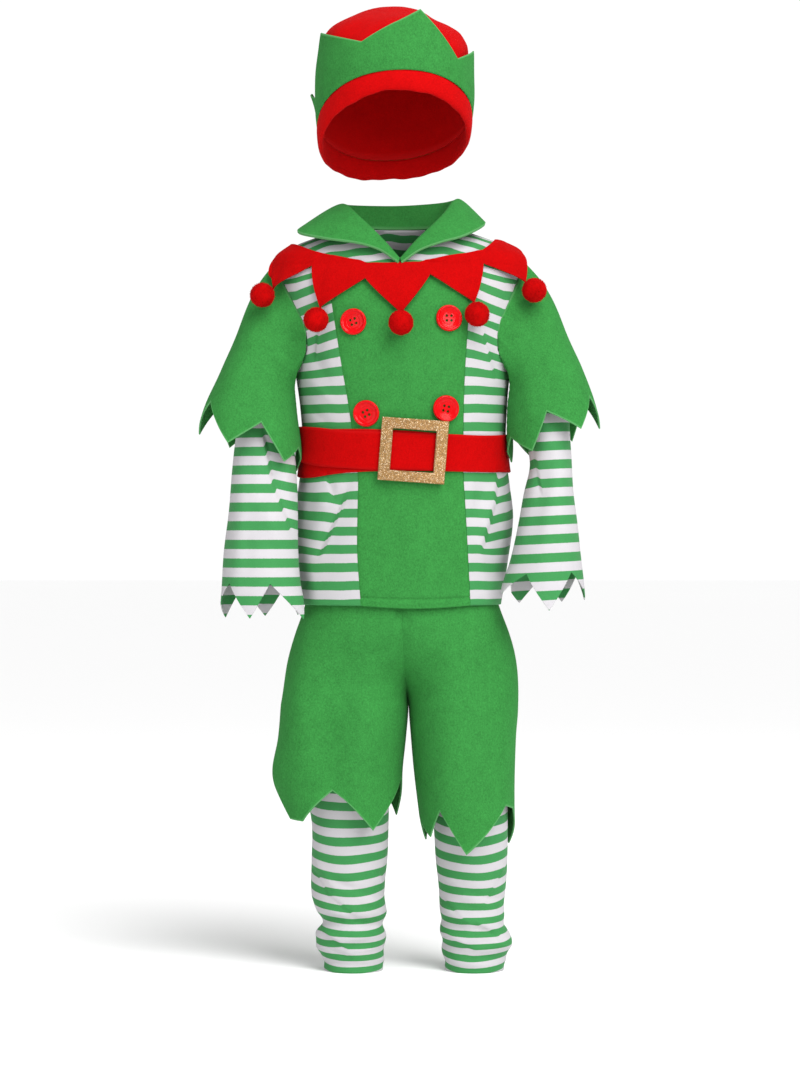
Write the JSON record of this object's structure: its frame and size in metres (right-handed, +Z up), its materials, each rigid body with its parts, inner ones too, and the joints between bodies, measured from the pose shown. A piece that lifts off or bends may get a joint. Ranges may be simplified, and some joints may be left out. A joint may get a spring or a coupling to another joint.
{
  "type": "elf costume",
  "caption": "Child's elf costume as worn: soft hat, striped tunic with jagged sleeves and pompom collar, belt with square buckle, breeches and leggings.",
  "frame": {"origin": "base of the neck at the middle of the shoulders, where the wearer carries the costume", "axes": "+Z up, the front faces -Y, the wearer's right is -X"},
  "size_m": [0.4588, 0.2355, 1.11],
  "materials": {
    "green_felt": "matt felt with a soft nap",
    "red_felt": "matt felt with a soft nap",
    "hat_felt": "matt felt with a soft nap",
    "striped_cloth": "smooth thin knit with even green and white stripes",
    "red_plastic": "glossy",
    "gold_board": "gold glitter"
  },
  "bodies": {
    "root": {"hat_crown": "hat_felt", "hat_band": "green_felt", "hat_rim": "hat_felt", "tunic_front": "green_felt", "tunic_back": "striped_cloth", "collar": "green_felt", "jester_collar": "red_felt", "belt": "red_felt", "buckle": "gold_board", "waistband": "green_felt", "tunic_side_right": "striped_cloth", "oversleeve_right": "green_felt", "undersleeve_right": "striped_cloth", "breeches_right": "green_felt", "legging_right": "striped_cloth", "tunic_side_left": "striped_cloth", "oversleeve_left": "green_felt", "undersleeve_left": "striped_cloth", "breeches_left": "green_felt", "legging_left": "striped_cloth", "pompom_1": "red_felt", "pompom_2": "red_felt", "pompom_3": "red_felt", "pompom_4": "red_felt", "pompom_5": "red_felt", "pompom_6": "red_felt", "pompom_7": "red_felt", "pompom_8": "red_felt", "button_1": "red_plastic", "button_2": "red_plastic", "button_3": "red_plastic", "button_4": "red_plastic"}
  },
  "joints": []
}
